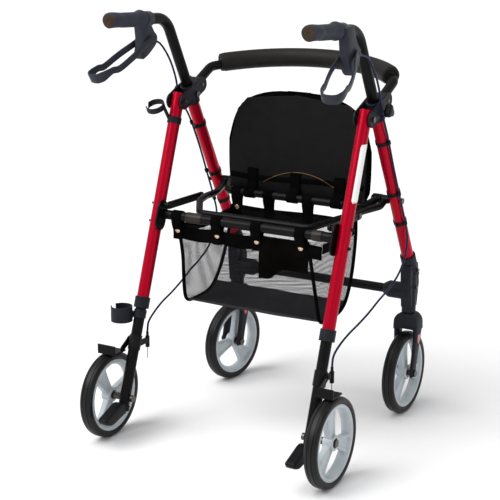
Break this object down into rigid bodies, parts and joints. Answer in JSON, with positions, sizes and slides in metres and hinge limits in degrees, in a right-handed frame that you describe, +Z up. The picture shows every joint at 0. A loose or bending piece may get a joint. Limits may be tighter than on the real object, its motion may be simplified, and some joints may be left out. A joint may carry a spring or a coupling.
{
  "type": "rollator walker",
  "caption": "Folding four-wheeled walker with red legs, black tubes, flip-up seat, shopping basket, curved padded backrest and loop brake levers.",
  "frame": {"origin": "on the floor, under the centre of the bounding box", "axes": "+X to the right of a user walking behind it, +Y forwards, +Z up"},
  "size_m": [0.608, 0.685, 0.9764],
  "materials": {
    "red": "metallic clear-coated red",
    "black_tube": "gloss black powder coat",
    "casting": "dark grey-blue moulded plastic",
    "wheel_plastic": "light blue-grey moulded plastic",
    "tyre": "soft black tread",
    "steel": "zinc-plated steel",
    "black_plastic": "fine-grained black plastic",
    "foam": "closed-cell foam with a skin",
    "grip_rubber": "soft ribbed rubber",
    "webbing": "black polyester webbing",
    "polyester": "black coated polyester",
    "mesh": "fine mesh with a woven floor",
    "board": "moulded board",
    "cable": "black cable housing"
  },
  "bodies": {
    "front_frame": {"front_legs": "red", "top_brackets": "casting", "front_corners": "casting", "front_cross_tube": "black_tube", "seat_bar": "black_tube", "backrest_tube": "black_tube", "backrest_pad": "foam", "frame_bolts": "steel", "cable_clips": "black_plastic", "stem_bearings": "steel", "basket": "mesh", "basket_front_straps": "webbing", "brake_cable_left": "cable", "brake_cable_right": "cable"},
    "rear_frame": {"rear_legs": "red", "leg_collars": "casting", "leg_extensions": "black_tube", "rear_cross_tube": "black_tube", "rear_brackets": "black_tube", "rear_axles": "steel", "curb_levers": "black_plastic", "brake_mounts": "black_plastic", "cane_holder": "casting", "basket_rear_straps": "webbing"},
    "fold_bar_body": {"fold_bar": "black_tube"},
    "side_link_pair": {"side_links": "black_tube", "link_rivets": "steel"},
    "seat": {"seat_board": "board", "seat_cover": "polyester", "seat_straps": "webbing"},
    "rear_wheel_left": {"rear_tyre_left": "tyre", "rear_rim_left": "wheel_plastic", "rear_bearings_left": "steel"},
    "front_wheel_left": {"front_tyre_left": "tyre", "front_rim_left": "wheel_plastic", "front_bearings_left": "steel"},
    "caster_left": {"caster_fork_left": "casting", "caster_stem_left": "steel", "front_axle_left": "steel"},
    "handle_left": {"handle_tube_left": "black_tube", "grip_left": "grip_rubber", "brake_housing_left": "black_plastic"},
    "lever_left": {"brake_lever_left": "black_plastic"},
    "knob_left": {"height_knob_left": "black_plastic"},
    "brake_left": {"brake_arm_left": "black_tube"},
    "rear_wheel_right": {"rear_tyre_right": "tyre", "rear_rim_right": "wheel_plastic", "rear_bearings_right": "steel"},
    "front_wheel_right": {"front_tyre_right": "tyre", "front_rim_right": "wheel_plastic", "front_bearings_right": "steel"},
    "caster_right": {"caster_fork_right": "casting", "caster_stem_right": "steel", "front_axle_right": "steel"},
    "handle_right": {"handle_tube_right": "black_tube", "grip_right": "grip_rubber", "brake_housing_right": "black_plastic"},
    "lever_right": {"brake_lever_right": "black_plastic"},
    "knob_right": {"height_knob_right": "black_plastic"},
    "brake_right": {"brake_arm_right": "black_tube"}
  },
  "joints": [
    {"name": "rear_fold", "type": "hinge", "parent": "front_frame", "child": "rear_frame", "pos_m": [0, -0.0135, 0.7535], "axis": [1, 0, 0], "range_deg": [0, 31.5], "deforming": ["basket_rear_straps"]},
    {"name": "fold_bar_pivot", "type": "hinge", "parent": "front_frame", "child": "fold_bar_body", "pos_m": [0, 0.1625, 0.54], "axis": [1, 0, 0], "range_deg": [-60.12, 0.3]},
    {"name": "side_link_pivot", "type": "hinge", "parent": "rear_frame", "child": "side_link_pair", "pos_m": [0, -0.1035, 0.528], "axis": [1, 0, 0], "range_deg": [-0.3, 35.28]},
    {"name": "seat_hinge", "type": "hinge", "parent": "front_frame", "child": "seat", "pos_m": [0, 0.1095, 0.528], "axis": [-1, 0, 0], "range_deg": [-88, 0]},
    {"name": "rear_wheel_left_spin", "type": "hinge", "parent": "rear_frame", "child": "rear_wheel_left", "pos_m": [-0.285, -0.2425, 0.1], "axis": [1, 0, 0], "continuous": true},
    {"name": "caster_left_swivel", "type": "hinge", "parent": "front_frame", "child": "caster_left", "pos_m": [-0.2385, 0.2605, 0.25], "axis": [0, 0, 1], "continuous": true},
    {"name": "front_wheel_left_spin", "type": "hinge", "parent": "caster_left", "child": "front_wheel_left", "pos_m": [-0.241, 0.24268, 0.1], "axis": [0.9903, -0.1392, 0], "continuous": true},
    {"name": "handle_left_slide", "type": "slide", "parent": "front_frame", "child": "handle_left", "axis": [0, -0.4785, 0.8781], "range_m": [-0.1, 0.02], "deforming": ["brake_cable_left"]},
    {"name": "brake_lever_left_squeeze", "type": "hinge", "parent": "handle_left", "child": "lever_left", "pos_m": [-0.2515, -0.1235, 0.905], "axis": [1, 0, 0], "range_deg": [-14, 0], "stiffness_Nm_per_rad": 1, "springref_deg": 8.59},
    {"name": "height_knob_left_turn", "type": "hinge", "parent": "front_frame", "child": "knob_left", "pos_m": [-0.2646, 0.03971, 0.765], "axis": [1, 0, 0], "range_deg": [0, 360]},
    {"name": "brake_arm_left_press", "type": "hinge", "parent": "rear_frame", "child": "brake_left", "pos_m": [-0.2546, -0.20163, 0.228], "axis": [1, 0, 0], "range_deg": [-0.05, 3.7]},
    {"name": "rear_wheel_right_spin", "type": "hinge", "parent": "rear_frame", "child": "rear_wheel_right", "pos_m": [0.285, -0.2425, 0.1], "axis": [1, 0, 0], "continuous": true},
    {"name": "caster_right_swivel", "type": "hinge", "parent": "front_frame", "child": "caster_right", "pos_m": [0.2385, 0.2605, 0.25], "axis": [0, 0, 1], "continuous": true},
    {"name": "front_wheel_right_spin", "type": "hinge", "parent": "caster_right", "child": "front_wheel_right", "pos_m": [0.2385, 0.2425, 0.1], "axis": [1, 0, 0], "continuous": true},
    {"name": "handle_right_slide", "type": "slide", "parent": "front_frame", "child": "handle_right", "axis": [0, -0.4785, 0.8781], "range_m": [-0.1, 0.02], "deforming": ["brake_cable_right"]},
    {"name": "brake_lever_right_squeeze", "type": "hinge", "parent": "handle_right", "child": "lever_right", "pos_m": [0.2515, -0.1235, 0.905], "axis": [1, 0, 0], "range_deg": [-14, 0], "stiffness_Nm_per_rad": 1, "springref_deg": 8.59},
    {"name": "height_knob_right_turn", "type": "hinge", "parent": "front_frame", "child": "knob_right", "pos_m": [0.2646, 0.03971, 0.765], "axis": [1, 0, 0], "range_deg": [0, 360]},
    {"name": "brake_arm_right_press", "type": "hinge", "parent": "rear_frame", "child": "brake_right", "pos_m": [0.2546, -0.20163, 0.228], "axis": [1, 0, 0], "range_deg": [-0.05, 3.7]}
  ],
  "couplings": [
    {"joint": "fold_bar_pivot", "follows": "rear_fold", "ratio": -1.8991},
    {"joint": "side_link_pivot", "follows": "rear_fold", "ratio": 1.1106},
    {"joint": "brake_arm_left_press", "follows": "brake_lever_left_squeeze", "ratio": -0.257},
    {"joint": "brake_arm_right_press", "follows": "brake_lever_right_squeeze", "ratio": -0.257}
  ]
}
